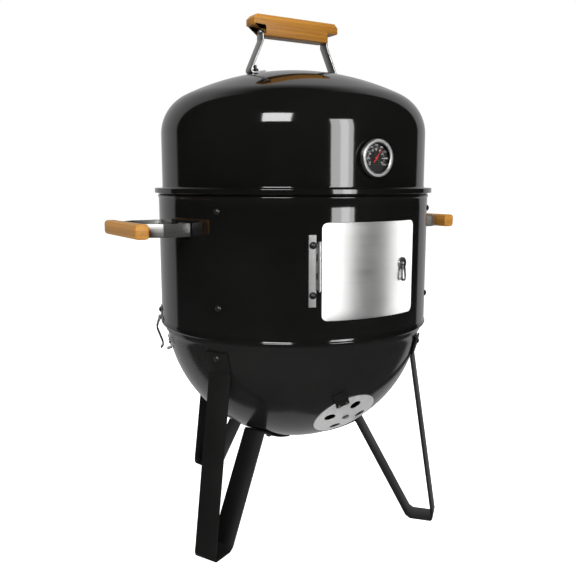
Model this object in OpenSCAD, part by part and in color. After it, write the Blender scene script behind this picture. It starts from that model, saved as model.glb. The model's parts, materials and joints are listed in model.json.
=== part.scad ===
// Vertical water smoker: a charcoal bowl on three strap legs, a barrel with a
// door, two cooking grates and a water pan, and a domed lid with a thermometer.
// +Z is up and the floor is z = 0 on the smoker's axis. The door faces -Y.
// An azimuth is measured from the front (-Y) towards +X.

/* [Sheet metal] */
// Thickness of the bowl, barrel and lid steel
sheet = 1.5; // [1.2:0.1:1.8]
// Thickness of the leg straps
leg_t = 3; // [2.5:0.1:3.5]
// Thickness of the handle straps
strap_t = 2.5; // [2:0.1:3]

/* [Barrel] */
// Outside radius of the barrel
barrel_r = 215; // [213:0.5:217]
// Height of the barrel's lower edge
barrel_low_z = 320; // [319:0.5:321]
// Height of the barrel's upper edge
barrel_top_z = 532; // [530:0.5:534]
// Height of the side handles
handle_z = 476; // [465:1:485]
// Distance between the two arms of a side handle
handle_span = 120; // [110:1:126]
// Length of a wooden side grip
grip_len = 140; // [130:1:150]

/* [Bowl] */
// Outside radius of the bowl's sphere
bowl_r = 208; // [207:0.5:209]
// Height of the lowest point of the bowl
bowl_low_z = 127; // [125:0.5:130]
// Slope below the horizon of the damper's axis, in degrees
damper_down = 43.5; // [42:0.5:46]
// Radius of the damper disc
damper_r = 50; // [47:0.5:53]

/* [Legs] */
// Width of a leg strap
leg_w = 38; // [34:1:42]
// Radius of the outer edge of a foot
foot_outer_r = 246; // [242:1:252]
// Radius of the inner edge of a foot
foot_inner_r = 200; // [196:1:210]

/* [Door] */
// Half of the angle that the door covers, in degrees
door_half_angle = 21.5; // [21.5:0.1:22]
// Height of the door's lower edge
door_low_z = 355; // [353:0.5:357]
// Height of the door's upper edge
door_top_z = 489; // [486:0.5:491]

/* [Lid] */
// Outside radius of the lid's wall
lid_r = 209; // [207:0.5:210]
// Height where the lid's wall meets its rounded corner
lid_wall_z = 616; // [612:1:620]
// Radius of the lid's rounded corner
lid_corner_r = 65; // [60:1:70]
// Radius of the lid's crown
lid_crown_r = 395; // [380:1:410]
// Height of the thermometer's axis
gauge_z = 575; // [570:0.5:580]

/* [Hidden] */
$fn = 96;

gap = 0.3;
run = 0.05;
far = 500;

// Azimuths of what is spaced around the axis
leg_az = [-63.7, 41.5, 196];
bracket_az = [-61, 47, 176];
clip_az = [-110, 110];
gauge_az = 0;
hinge_az = -22.4;
latch_az = 14.3;

// Fasteners
shank_r = 2.5;
hole_r = 2.8;
head_r = 5;
head_h = 3;
nut_r = 5.2;
nut_h = 3.5;
screw_r = 2;

// Bowl: the rim band stands inside the barrel's lower edge
bowl_z = bowl_low_z + bowl_r;
rim_low_z = barrel_low_z - 9;
rim_top_z = barrel_low_z + 10;
rim_r = bowl_r + 1.5;
vent_r = 8.8;
vent_ring_r = 30;
vent_turn = -8;
rivet_r = 3;

// Barrel and lid
barrel_in_r = barrel_r - sheet;
bead_r = 2.4;
bead_out = 1.4;
lid_seat_z = barrel_top_z + gap;
lid_flange_r = barrel_r + 6;
lid_flange_low_z = barrel_top_z - 5.5;
cove_r = 4;
lid_crown_z = lid_wall_z - sqrt(pow(lid_crown_r - lid_corner_r, 2) - pow(lid_r - lid_corner_r, 2));
crown_angle = atan2(lid_r - lid_corner_r, lid_wall_z - lid_crown_z);

// Grate brackets, grates and pan
bracket_w = 20;
bracket_t = 2;
bracket_r = barrel_in_r - 0.4;
upper_bolt_z = 503;
lower_bolt_z = 368;
upper_tab_z = barrel_top_z - 17;
lower_tab_z = 391;
upper_tab_r = 190;
lower_tab_r = 186;
seat_foot_r = 200;
wire_t = 4;
grate_r = 204;
pan_rim_z = lower_tab_z + bracket_t / 2 + gap;
pan_rim_r = 200;
pan_top_r = 183;
pan_low_r = 150;
pan_low_z = 324;
charcoal_z = 238;
charcoal_r = sqrt(pow(bowl_r - sheet, 2) - pow(bowl_z - charcoal_z, 2)) - 0.6;

// Door, hinge and latch
door_gap = 1;
door_t = 1.2;
door_corner = 8;
opening_half_angle = 18.5;
opening_margin = 9;
hinge_r = barrel_r + 4.4;
pin_r = 1.6;
knuckle_r = 3;
finger_in = 1;
hinge_low_z = 375;
hinge_top_z = 473;
hinge_leaf_az = -26.4;
hinge_finger_az = -23.7;
hinge_bolt_az = -24.7;
hinge_bolt_z = [391, 459];
knuckle_z = [398.4, 413.7, 421, 438.8, 446.8, 462.3];
latch_z = 428;
spindle_r = 3.1;
washer_r = 8.8;
lever_len = 25;
cam_len = 22;

// Wire clips between the barrel and the bowl
clip_bolt_z = 341;
clip_eye_z = 328.5;
clip_eye_r = barrel_r + 3.4;
clip_eye_out_r = 2.9;
clip_wire_r = 1.3;
clip_half_w = 10;
catch_down = 13;

// Side handles
grip_t = 20;
grip_h = 21;
strap_h = 19;
strap_knee_x = 248;
strap_back_x = 270.5;
strap_back_y = 46;
tab_inner_y = 34;
handle_bolt_y = 46;
grip_screw_y = 30;

// Lid handle
lid_grip_w = 26;
block_half = 57.5;
bar_half = 77;
block_low_z = 763.5;
bar_low_z = 778;
bar_top_z = 794;
lid_strap_top_z = 776.5;
lid_knee_z = 757.5;
lid_foot_x = 82;
lid_toe_x = 55;
lid_bolt_x = 67;
lid_screw_z = 770.5;

// Thermometer, along its own axis from the lid's wall outwards
case_r = 24.5;
case_depth = 7.5;
bezel_r = 26;
lens_r = 24.2;
dial_r = 23.1;
dial_z = case_depth - 3.6;
window_r = 20;
stem_len = 70;
needle_turn = -37;

// ---------- shared shapes ----------

// Unit vector, its left-hand normal, and the offset that keeps a bent strip's thickness
function unit(v) = v / norm(v);
function left(v) = [-v[1], v[0]];
function dir_in(p, i) = unit(i == 0 ? p[1] - p[0] : p[i] - p[i - 1]);
function dir_out(p, i) = i == len(p) - 1 ? dir_in(p, i) : unit(p[i + 1] - p[i]);
function miter(p, i) = let(m = unit(left(dir_in(p, i)) + left(dir_out(p, i)))) m / (m * left(dir_in(p, i)));

// Outline of a strip of thickness t whose middle line runs through the points p
function strip(p, t) = concat(
    [for (i = [0 : len(p) - 1]) p[i] + miter(p, i) * t / 2],
    [for (i = [len(p) - 1 : -1 : 0]) p[i] - miter(p, i) * t / 2]);

// Point in a vertical plane, "down" degrees below the horizon on a sphere round the bowl's centre
function on_sphere(r, down) = [r * cos(down), bowl_z - r * sin(down)];

// Places children on the barrel or lid, with local Z pointing out at radius r
module facing(az, r, z) {
    rotate([0, 0, az]) translate([0, -r, z]) rotate([90, 0, 0]) children();
}

// Places children on the bowl, with local Z pointing out from the sphere's centre
module on_bowl(az, down) {
    translate([0, 0, bowl_z]) rotate([0, 0, az]) rotate([90 + down, 0, 0]) children();
}

// Places children on the lid's crown, tilted to stand square to it at distance x
module on_crown(x) {
    translate([0, 0, lid_crown_z]) rotate([0, asin(x / lid_crown_r), 0]) children();
}

// Extrudes a radius-height outline across the vertical plane at an azimuth
module in_plane(az, width) {
    rotate([0, 0, az]) rotate([90, 0, -90]) linear_extrude(width, center = true) children();
}

// Part of a ring of sheet, from azimuth a to azimuth b
module curved_sheet(r, t, low_z, top_z, a, b) {
    rotate_extrude(angle = b - a, start = a - 90) translate([r, low_z]) square([t, top_z - low_z]);
}

module rounded_rect(w, h, r) {
    square([w - 2 * r, h], center = true);
    square([w, h - 2 * r], center = true);
    for (x = [-1, 1], y = [-1, 1]) translate([x * (w / 2 - r), y * (h / 2 - r)]) circle(r);
}

// Extrudes an outline of x and z from the axis out through the front
module through_front() {
    rotate([90, 0, 0]) linear_extrude(far) children();
}

module window_outline(half_w, low_z, top_z, corner) {
    translate([0, (low_z + top_z) / 2]) rounded_rect(2 * half_w, top_z - low_z, corner);
}

// Domed bolt: the head stands on z = 0 and the shank goes down
module bolt(length) {
    sphere_r = (head_r * head_r + head_h * head_h) / (2 * head_h);
    rotate_extrude() intersection() {
        translate([0, head_h - sphere_r]) circle(sphere_r);
        square([head_r, head_h]);
    }
    translate([0, 0, -length]) cylinder(r = shank_r, h = length);
}

module nut() {
    difference() {
        cylinder(r = nut_r, h = nut_h, $fn = 6);
        translate([0, 0, -1]) cylinder(r = shank_r + run, h = nut_h + 2);
    }
}

// Hole for a fastener, through everything near z = 0
module hole(r = hole_r, reach = 12) {
    translate([0, 0, -reach]) cylinder(r = r, h = 2 * reach);
}

// ---------- bowl and legs ----------

module bowl_sheet(inset) {
    intersection() {
        translate([0, bowl_z]) circle(bowl_r - inset);
        square([far, rim_low_z + sheet]);
    }
}

leg_bolt_down = [11.5, 69.5, 76.2];

module bowl_shell() color("#2b2b2b") {
    difference() {
        rotate_extrude() {
            difference() {
                bowl_sheet(0);
                translate([0, bowl_z]) circle(bowl_r - sheet);
            }
            translate([rim_r - sheet, rim_low_z]) square([sheet, rim_top_z - rim_low_z]);
            translate([bowl_r - 3 * sheet, rim_low_z]) square([3 * sheet, sheet]);
        }
        on_bowl(0, damper_down) {
            translate([0, 0, bowl_r]) hole(rivet_r + run);
            for (a = [0 : 90 : 270]) rotate(a + vent_turn) translate([vent_ring_r, 0, bowl_r]) hole(vent_r, 20);
        }
        for (az = leg_az, down = leg_bolt_down) on_bowl(az, down) translate([0, 0, bowl_r]) hole();
        for (az = clip_az) on_bowl(az, catch_down) translate([0, 0, bowl_r]) hole(screw_r + run);
    }
}

// Middle line of a leg: down the bowl, out to the foot, and back up under the bowl
leg_face_r = bowl_r + gap + leg_t / 2;
leg_line = concat(
    [for (down = [9 : 3 : 18]) on_sphere(leg_face_r, down)],
    [[foot_outer_r - 5.5, 7], [foot_outer_r - 7, leg_t / 2], [foot_inner_r + 6, leg_t / 2], [foot_inner_r - 1, 6]],
    [for (down = [57.5 : 3.6 : 79.1]) on_sphere(leg_face_r, down)]);

module leg(az) color("#1c1c1c") {
    difference() {
        in_plane(az, leg_w) polygon(strip(leg_line, leg_t));
        for (down = leg_bolt_down) on_bowl(az, down) translate([0, 0, bowl_r]) hole();
    }
}

module leg_left() { leg(leg_az[0]); }
module leg_right() { leg(leg_az[1]); }
module leg_rear() { leg(leg_az[2]); }

module leg_bolts() color("#141414") {
    for (az = leg_az, down = leg_bolt_down)
        on_bowl(az, down) translate([0, 0, bowl_r + gap + leg_t + 0.1]) bolt(11);
}

module leg_nuts() color("#9a9a9a") {
    for (az = leg_az, down = leg_bolt_down)
        on_bowl(az, down) translate([0, 0, bowl_r - sheet - 0.2 - nut_h]) nut();
}

module clip_catches() color("#8c8c8c") {
    for (az = clip_az) on_bowl(az, catch_down) difference() {
        translate([0, 0, bowl_r + gap]) union() {
            translate([-7, -11, 0]) cube([14, 22, 1.5]);
            translate([-7, -11, 0]) cube([14, 1.5, 8]);
        }
        translate([0, 0, bowl_r]) hole(screw_r + run);
    }
}

module catch_rivets() color("#a8a8a8") {
    for (az = clip_az) on_bowl(az, catch_down) {
        translate([0, 0, bowl_r - 5]) cylinder(r = screw_r, h = 7);
        translate([0, 0, bowl_r + gap + 1.5]) cylinder(r = 3.5, h = 1.5);
        translate([0, 0, bowl_r - sheet - 1.7]) cylinder(r = 3.5, h = 1.5);
    }
}

// ---------- bowl damper ----------

damper_in_r = bowl_r + gap;
damper_out_r = damper_in_r + 1.2;
tab_angle = 121;

module damper_disc() color("#c4c4c4") {
    on_bowl(0, damper_down) difference() {
        intersection() {
            difference() {
                sphere(damper_out_r);
                sphere(damper_in_r);
            }
            cylinder(r = damper_r, h = far);
        }
        for (a = [0 : 90 : 270]) rotate(a + vent_turn) translate([vent_ring_r, 0, bowl_r]) hole(vent_r, 20);
        translate([0, 0, bowl_r]) hole(rivet_r + run);
        tab_rivet_places() hole(1.5 + run);
    }
}

module tab_rivet_places() {
    for (side = [-1, 1]) rotate(tab_angle) translate([damper_r - 6, side * 6, bowl_r]) children();
}

module damper_rivet() color("#b0b0b0") {
    on_bowl(0, damper_down) {
        translate([0, 0, damper_out_r + 0.1]) cylinder(r1 = 6, r2 = 4, h = 1.8);
        translate([0, 0, bowl_r - 5]) cylinder(r = rivet_r, h = 7);
        translate([0, 0, bowl_r - sheet - 1.9]) cylinder(r = 5.5, h = 1.6);
    }
}

module damper_tab() color("#1c1c1c") {
    on_bowl(0, damper_down) difference() {
        rotate(tab_angle) {
            translate([damper_r - 10, -10.5, 0]) tab_plate();
            rotate([0, 18.6, 0]) translate([-1, -10.5, damper_out_r - 0.6]) cube([1.6, 21, 11]);
        }
        tab_rivet_places() hole(1.5 + run);
    }
}

// Flat of the tab, a piece of a sphere that rides just above the disc
module tab_plate() {
    translate([10 - damper_r, 10.5, 0]) intersection() {
        difference() {
            sphere(damper_out_r + 1.4);
            sphere(damper_out_r + 0.1);
        }
        translate([damper_r - 10, -10.5, 0]) cube([27, 21, far]);
    }
}

module tab_rivets() color("#8c8c8c") {
    on_bowl(0, damper_down) tab_rivet_places() {
        translate([0, 0, -4.5]) cylinder(r = 1.5, h = 5.5);
        translate([0, 0, -1]) cylinder(r = 1.5, h = 2);
    }
}

// ---------- grates and pan ----------

// Flat wire grate: a rim, parallel wires and two cross wires
module grate(r, z, pitch, wire_w) {
    reach = floor((r - pitch / 2) / pitch) * pitch;
    translate([0, 0, z]) linear_extrude(wire_t) {
        difference() {
            circle(r);
            circle(r - 5);
        }
        intersection() {
            circle(r - 2);
            union() {
                for (x = [-reach : pitch : reach]) translate([x - wire_w / 2, -r]) square([wire_w, 2 * r]);
                for (y = [-0.45, 0.45]) translate([-r, y * r - wire_w]) square([2 * r, 2 * wire_w]);
            }
        }
    }
}

module charcoal_grate() color("#8f8f8f") { grate(charcoal_r, charcoal_z, 20, 4); }
module upper_grate() color("#c8c8c8") { grate(grate_r, upper_tab_z + bracket_t / 2 + gap, 15, 3); }
module lower_grate() color("#c8c8c8") { grate(grate_r - 2, pan_rim_z + sheet + gap, 15, 3); }

module water_pan() color("#262626") {
    rotate_extrude() {
        translate([pan_top_r - sheet, pan_rim_z]) square([pan_rim_r - pan_top_r + sheet, sheet]);
        polygon([
            [pan_top_r, pan_rim_z + sheet], [pan_low_r, pan_low_z], [0, pan_low_z],
            [0, pan_low_z + sheet], [pan_low_r - sheet, pan_low_z + sheet], [pan_top_r - sheet, pan_rim_z + sheet]]);
    }
}

// ---------- barrel ----------

handle_bolt_az = asin(handle_bolt_y / barrel_r);

module bracket_bolt_places(z) {
    for (az = bracket_az) facing(az, barrel_r, z) children();
}

module handle_bolt_places() {
    for (side = [-90, 90], turn = [-1, 1]) facing(side + turn * handle_bolt_az, barrel_r, handle_z) children();
}

module hinge_bolt_places() {
    for (z = hinge_bolt_z) facing(hinge_bolt_az, barrel_r, z) children();
}

module clip_bolt_places() {
    for (az = clip_az) facing(az, barrel_r, clip_bolt_z) children();
}

module barrel_shell() color("#161616") {
    difference() {
        rotate_extrude() intersection() {
            translate([barrel_in_r, 0]) square(far * 2);
            union() {
                translate([barrel_in_r, barrel_low_z]) square([sheet, barrel_top_z - barrel_low_z]);
                for (z = [barrel_low_z + bead_r, barrel_top_z - 10])
                    translate([barrel_r + bead_out - bead_r, z]) circle(bead_r);
            }
        }
        through_front() window_outline(barrel_r * sin(opening_half_angle), door_low_z + opening_margin,
            door_top_z - opening_margin, door_corner);
        bracket_bolt_places(upper_bolt_z) hole();
        bracket_bolt_places(lower_bolt_z) hole();
        handle_bolt_places() hole();
        hinge_bolt_places() hole();
        clip_bolt_places() hole();
    }
}

module upper_bracket(az) color("#3a3a3a") {
    mid_r = bracket_r - bracket_t / 2;
    difference() {
        in_plane(az, bracket_w)
            polygon(strip([[upper_tab_r, upper_tab_z], [mid_r, upper_tab_z], [mid_r, upper_tab_z - 23]], bracket_t));
        facing(az, barrel_r, upper_bolt_z) hole();
    }
}

// The foot of each lower bracket stands on the bowl's rim and carries the barrel
module lower_bracket(az) color("#3a3a3a") {
    mid_r = bracket_r - bracket_t / 2;
    foot_z = rim_top_z + gap + bracket_t / 2;
    difference() {
        in_plane(az, bracket_w) polygon(strip([
            [seat_foot_r, foot_z], [mid_r, foot_z], [mid_r, lower_tab_z], [lower_tab_r, lower_tab_z]], bracket_t));
        facing(az, barrel_r, lower_bolt_z) hole();
    }
}

module upper_bracket_left() { upper_bracket(bracket_az[0]); }
module upper_bracket_right() { upper_bracket(bracket_az[1]); }
module upper_bracket_rear() { upper_bracket(bracket_az[2]); }
module lower_bracket_left() { lower_bracket(bracket_az[0]); }
module lower_bracket_right() { lower_bracket(bracket_az[1]); }
module lower_bracket_rear() { lower_bracket(bracket_az[2]); }

module bracket_bolts() color("#0f0f0f") {
    bracket_bolt_places(upper_bolt_z) translate([0, 0, run]) bolt(10);
    bracket_bolt_places(lower_bolt_z) translate([0, 0, run]) bolt(10);
}

module hinge_bolts() color("#0f0f0f") {
    hinge_bolt_places() translate([0, 0, 2]) bolt(11);
}

module handle_bolts() color("#0f0f0f") {
    handle_bolt_places() translate([0, 0, strap_t + gap + 0.2]) bolt(12);
}

module clip_bolts() color("#0f0f0f") {
    clip_bolt_places() translate([0, 0, 2]) bolt(11);
}

module barrel_nuts() color("#9a9a9a") {
    behind_bracket = -(barrel_r - bracket_r + bracket_t) - 0.1 - nut_h;
    behind_wall = -sheet - 0.2 - nut_h;
    bracket_bolt_places(upper_bolt_z) translate([0, 0, behind_bracket]) nut();
    bracket_bolt_places(lower_bolt_z) translate([0, 0, behind_bracket]) nut();
    handle_bolt_places() translate([0, 0, behind_wall]) nut();
    hinge_bolt_places() translate([0, 0, behind_wall]) nut();
    clip_bolt_places() translate([0, 0, behind_wall]) nut();
}

// ---------- door, hinge and latch ----------

module hinge_axis() {
    rotate([0, 0, hinge_az]) translate([0, -hinge_r, 0]) children();
}

module knuckle(i, ease = 0) {
    hinge_axis() translate([0, 0, knuckle_z[i] + ease])
        cylinder(r = knuckle_r, h = knuckle_z[i + 1] - knuckle_z[i] - 2 * ease);
}

// Outline of the finger that joins a knuckle to its sheet, from x = a to x = b
module finger(i, a, b) {
    low_z = knuckle_z[i] + finger_in;
    translate([a, low_z]) square([b - a, knuckle_z[i + 1] - finger_in - low_z]);
}

hinge_x = hinge_r * sin(hinge_az);

module hinge_leaf() color("#8c8c88") {
    in_r = barrel_r + 0.2;
    leaf_x = in_r * sin(hinge_leaf_az);
    finger_x = in_r * sin(hinge_finger_az);
    difference() {
        union() {
            intersection() {
                curved_sheet(in_r, sheet, hinge_low_z, hinge_top_z, hinge_leaf_az - 1, hinge_az + 1);
                through_front() {
                    translate([leaf_x, hinge_low_z]) square([finger_x - leaf_x, hinge_top_z - hinge_low_z]);
                    for (i = [0 : 2 : 4]) finger(i, leaf_x, hinge_x);
                }
            }
            for (i = [0 : 2 : 4]) knuckle(i);
        }
        hinge_axis() cylinder(r = pin_r + run, h = 2 * far);
        hinge_bolt_places() hole();
    }
}

module hinge_pin() color("#b5b5b5") {
    hinge_axis() {
        translate([0, 0, knuckle_z[0] - 2]) cylinder(r = pin_r, h = knuckle_z[5] - knuckle_z[0] + 4);
        translate([0, 0, knuckle_z[5] + 0.5]) cylinder(r = 2.8, h = 1.5);
    }
}

module door_panel() color("#d0d0d0") {
    in_r = barrel_r + door_gap;
    half_w = (in_r + door_t) * sin(door_half_angle);
    difference() {
        union() {
            intersection() {
                curved_sheet(in_r, door_t, door_low_z, door_top_z, hinge_az - 1, door_half_angle + 1);
                through_front() {
                    window_outline(half_w, door_low_z, door_top_z, door_corner);
                    for (i = [1, 3]) finger(i, hinge_x, door_corner - half_w);
                }
            }
            for (i = [1, 3]) knuckle(i, gap);
        }
        hinge_axis() cylinder(r = pin_r + run, h = 2 * far);
        facing(latch_az, in_r, latch_z) hole(spindle_r + run);
    }
}

module latch_washer() color("#a8a8a8") {
    facing(latch_az, barrel_r + door_gap + door_t + 0.2, latch_z) difference() {
        cylinder(r = washer_r, h = 1);
        hole(spindle_r + run);
    }
}

// Turning spindle with a looped lever that hangs down when the door is free to open
module latch_lever() color("#8f8f8f") {
    facing(latch_az, barrel_r + door_gap + door_t + 1.4, latch_z) {
        translate([0, 0, -12]) cylinder(r = spindle_r, h = 12);
        cylinder(r = 4.2, h = 3);
        difference() {
            linear_extrude(2.4) polygon([[-2.6, 0], [2.6, 0], [5.2, -lever_len], [-5.2, -lever_len]]);
            translate([0, 0, -1]) linear_extrude(5)
                polygon([[-0.6, -6], [0.6, -6], [2.6, -lever_len + 2.4], [-2.6, -lever_len + 2.4]]);
        }
    }
}

module latch_cam() color("#8c8c8c") {
    facing(latch_az, barrel_r + door_gap + door_t + 1.4, latch_z) difference() {
        translate([0, 0, -9.5]) linear_extrude(1.5) union() {
            circle(6);
            translate([-5, -cam_len]) square([10, cam_len]);
        }
        translate([0, 0, -9.5]) hole(spindle_r + run);
    }
}

// ---------- wire clips ----------

module clip_brackets() color("#8c8c8c") {
    for (az = clip_az) difference() {
        union() {
            facing(az, barrel_r, 0) translate([-7, clip_eye_z, 0.2]) cube([14, clip_bolt_z + 7 - clip_eye_z, 1.5]);
            clip_eye(az) cylinder(r = clip_eye_out_r, h = 14, center = true);
        }
        clip_eye(az) cylinder(r = clip_wire_r + run, h = 20, center = true);
        facing(az, barrel_r, clip_bolt_z) hole();
    }
}

// Axis of the eye that a clip's wire turns in, along local Z
module clip_eye(az) {
    rotate([0, 0, az]) translate([0, -clip_eye_r, clip_eye_z]) rotate([0, 90, 0]) children();
}

// Side wire of a clip, from the eye down: it bows out, then comes in beside the bowl
clip_side = [
    [clip_eye_r, clip_eye_z], [clip_eye_r + 5.5, clip_eye_z - 16], [clip_eye_r - 4.2, clip_eye_z - 42],
    [clip_eye_r, clip_eye_z - 50]];

module clip_wire(az) color("#9c9c9c") {
    wire_w = 2 * clip_wire_r;
    clip_eye(az) cylinder(r = clip_wire_r, h = 2 * clip_half_w, center = true);
    for (side = [-1, 1]) rotate([0, 0, az]) translate([side * (clip_half_w - clip_wire_r), 0, 0])
        in_plane(0, wire_w) polygon(strip(clip_side, wire_w));
    facing(az, clip_eye_r, clip_side[3][1]) cube([2 * clip_half_w, wire_w, wire_w], center = true);
}

module clip_wire_left() { clip_wire(clip_az[0]); }
module clip_wire_right() { clip_wire(clip_az[1]); }

// ---------- side handles ----------

// Outline of a U-shaped strap seen from above, on the -X side of the barrel
module strap_outline() {
    arm_y = handle_span / 2;
    arm_x = sqrt(pow(barrel_r + gap + strap_t, 2) - pow(arm_y, 2)) - 0.6;
    polygon(strip([
        [-arm_x, -arm_y], [-strap_knee_x, -arm_y], [-strap_back_x, -strap_back_y],
        [-strap_back_x, strap_back_y], [-strap_knee_x, arm_y], [-arm_x, arm_y]], strap_t));
    intersection() {
        difference() {
            circle(barrel_r + gap + strap_t);
            circle(barrel_r + gap);
        }
        for (side = [-1, 1]) translate([-far, side * (tab_inner_y + arm_y + strap_t / 2) / 2])
            translate([0, -(arm_y + strap_t / 2 - tab_inner_y) / 2]) square([far, arm_y + strap_t / 2 - tab_inner_y]);
    }
}

module handle_strap() color("#c9c9c9") {
    difference() {
        translate([0, 0, handle_z - strap_h / 2]) linear_extrude(strap_h) strap_outline();
        handle_bolt_places() hole();
        for (y = [-grip_screw_y, grip_screw_y])
            translate([-strap_back_x, y, handle_z]) rotate([0, 90, 0]) hole(screw_r + 0.2, 4);
    }
}

module handle_strap_left() { handle_strap(); }
module handle_strap_right() { mirror([1, 0, 0]) handle_strap(); }

grip_face_x = strap_back_x + strap_t / 2;

module side_grip() color("#c98f45") {
    difference() {
        translate([-grip_face_x - grip_t / 2, grip_len / 2, handle_z]) rotate([90, 0, 0])
            linear_extrude(grip_len) rounded_rect(grip_t, grip_h, 6);
        for (y = [-grip_screw_y, grip_screw_y])
            translate([-grip_face_x - 12, y, handle_z]) rotate([0, 90, 0]) cylinder(r = screw_r + run, h = 13);
    }
}

module side_grip_left() { side_grip(); }
module side_grip_right() { mirror([1, 0, 0]) side_grip(); }

module side_grip_screws() color("#b0b0b0") {
    for (side = [0, 1], y = [-grip_screw_y, grip_screw_y]) mirror([side, 0, 0])
        translate([-strap_back_x + strap_t / 2 + run, y, handle_z]) rotate([0, 90, 0]) {
            cylinder(r1 = 4, r2 = 2.6, h = 2);
            translate([0, 0, -strap_t - 11]) cylinder(r = screw_r, h = strap_t + 11);
        }
}

// ---------- lid ----------

module lid_area(inset, low_z) {
    translate([0, low_z]) square([lid_r - inset, lid_wall_z - low_z]);
    translate([lid_r - lid_corner_r, lid_wall_z]) circle(lid_corner_r - inset);
    intersection() {
        translate([0, lid_crown_z]) circle(lid_crown_r - inset);
        polygon([
            [0, lid_crown_z], [0, lid_crown_z + far],
            [far * sin(crown_angle), lid_crown_z + far * cos(crown_angle)]]);
    }
}

module lid_shell() color("#151515") {
    flange_top_z = lid_seat_z + sheet;
    difference() {
        rotate_extrude() {
            difference() {
                lid_area(0, lid_seat_z);
                lid_area(sheet, lid_seat_z - 1);
            }
            translate([lid_r - sheet, lid_seat_z]) square([lid_flange_r - lid_r + sheet, sheet]);
            translate([lid_flange_r - sheet, lid_flange_low_z]) square([sheet, flange_top_z - lid_flange_low_z]);
            translate([lid_r, flange_top_z]) difference() {
                square(cove_r);
                translate([cove_r, cove_r]) circle(cove_r);
            }
        }
        facing(gauge_az, lid_r, gauge_z) hole(4.7);
        for (x = [-lid_bolt_x, lid_bolt_x]) on_crown(x) translate([0, 0, lid_crown_r]) hole();
    }
}

// Height of a line that touches the crown at the lid bolt, at distance x from the axis
crown_tilt = asin(lid_bolt_x / lid_crown_r);
function lid_foot_z(x) = lid_crown_z + lid_crown_r / cos(crown_tilt) - x * tan(crown_tilt)
    + (gap + strap_t / 2) / cos(crown_tilt);

module lid_strap() color("#b9b9b9") {
    side_x = block_half + strap_t / 2;
    difference() {
        rotate([90, 0, 0]) linear_extrude(strap_h, center = true) polygon(strip([
            [lid_toe_x, lid_foot_z(lid_toe_x)], [lid_foot_x, lid_foot_z(lid_foot_x)],
            [side_x, lid_knee_z], [side_x, lid_strap_top_z]], strap_t));
        on_crown(lid_bolt_x) translate([0, 0, lid_crown_r]) hole();
        translate([side_x, 0, lid_screw_z]) rotate([0, 90, 0]) hole(screw_r + 0.2, 4);
    }
}

module lid_strap_right() { lid_strap(); }
module lid_strap_left() { mirror([1, 0, 0]) lid_strap(); }

module lid_grip() color("#c98f45") {
    cut = 6;
    difference() {
        rotate([90, 0, 0]) linear_extrude(lid_grip_w, center = true) polygon([
            [-block_half, block_low_z], [block_half, block_low_z], [block_half, bar_low_z], [bar_half, bar_low_z],
            [bar_half, bar_top_z - cut], [bar_half - cut, bar_top_z], [cut - bar_half, bar_top_z],
            [-bar_half, bar_top_z - cut], [-bar_half, bar_low_z], [-block_half, bar_low_z]]);
        for (side = [0, 1]) mirror([side, 0, 0]) translate([block_half - 15, 0, lid_screw_z])
            rotate([0, 90, 0]) cylinder(r = screw_r + run, h = 20);
    }
}

module lid_grip_screws() color("#8f8f8f") {
    for (side = [0, 1]) mirror([side, 0, 0]) translate([block_half + strap_t + run, 0, lid_screw_z]) rotate([0, 90, 0]) {
        cylinder(r1 = 4, r2 = 2.6, h = 2);
        translate([0, 0, -strap_t - 14]) cylinder(r = screw_r, h = strap_t + 14);
    }
}

// The bolts come up from inside the lid and the nuts clamp the strap's feet
module lid_bolts() color("#0f0f0f") {
    for (x = [-lid_bolt_x, lid_bolt_x]) on_crown(x) translate([0, 0, lid_crown_r - sheet - 0.1])
        mirror([0, 0, 1]) bolt(14);
}

module lid_nuts() color("#0f0f0f") {
    for (x = [-lid_bolt_x, lid_bolt_x]) on_crown(x) translate([0, 0, lid_crown_r + gap + strap_t + 0.1]) nut();
}

// ---------- thermometer ----------

module gauge_place() {
    facing(gauge_az, lid_r, gauge_z) children();
}

module gauge_case() color("#3a3a3a") {
    gauge_place() difference() {
        translate([0, 0, 0.2]) cylinder(r = case_r, h = case_depth - 0.2);
        translate([0, 0, 1.4]) cylinder(r = case_r - 1.2, h = case_depth);
        hole(3.1);
    }
}

module gauge_bezel() color("#d8d8d8") {
    gauge_place() difference() {
        translate([0, 0, case_depth - 3]) cylinder(r = bezel_r, h = 6.5);
        translate([0, 0, case_depth - 4]) cylinder(r = case_r + run, h = 6.2);
        translate([0, 0, case_depth]) cylinder(r1 = window_r, r2 = window_r + 0.8, h = 4);
    }
}

module gauge_dial() color("#1a1a1a") {
    gauge_place() translate([0, 0, dial_z]) difference() {
        cylinder(r = dial_r, h = 0.8);
        hole(1, 4);
    }
}

module gauge_needle() color("#c0281e") {
    gauge_place() {
        translate([0, 0, 2.3]) cylinder(r = 0.9, h = dial_z - 0.9);
        translate([0, 0, dial_z + 1.2]) cylinder(r = 2.2, h = 1.2);
        rotate(needle_turn) translate([0, 0, dial_z + 1.4]) linear_extrude(0.6)
            polygon([[-1.1, -7], [1.1, -7], [0.35, 16.5], [-0.35, 16.5]]);
    }
}

module gauge_lens() color([0.8, 0.9, 1, 0.35]) {
    gauge_place() translate([0, 0, case_depth + 0.1]) cylinder(r = lens_r, h = 1.8);
}

module gauge_stem() color("#c8c8c8") {
    gauge_place() {
        translate([0, 0, -stem_len]) cylinder(r = 3, h = stem_len + 2);
        translate([0, 0, -11]) cylinder(r = 4.5, h = 11.1);
    }
}

module gauge_nut() color("#c8c8c8") {
    gauge_place() translate([0, 0, -sheet - 0.3 - 4]) difference() {
        cylinder(r = 8, h = 4, $fn = 6);
        hole(4.5 + run);
    }
}

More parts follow.
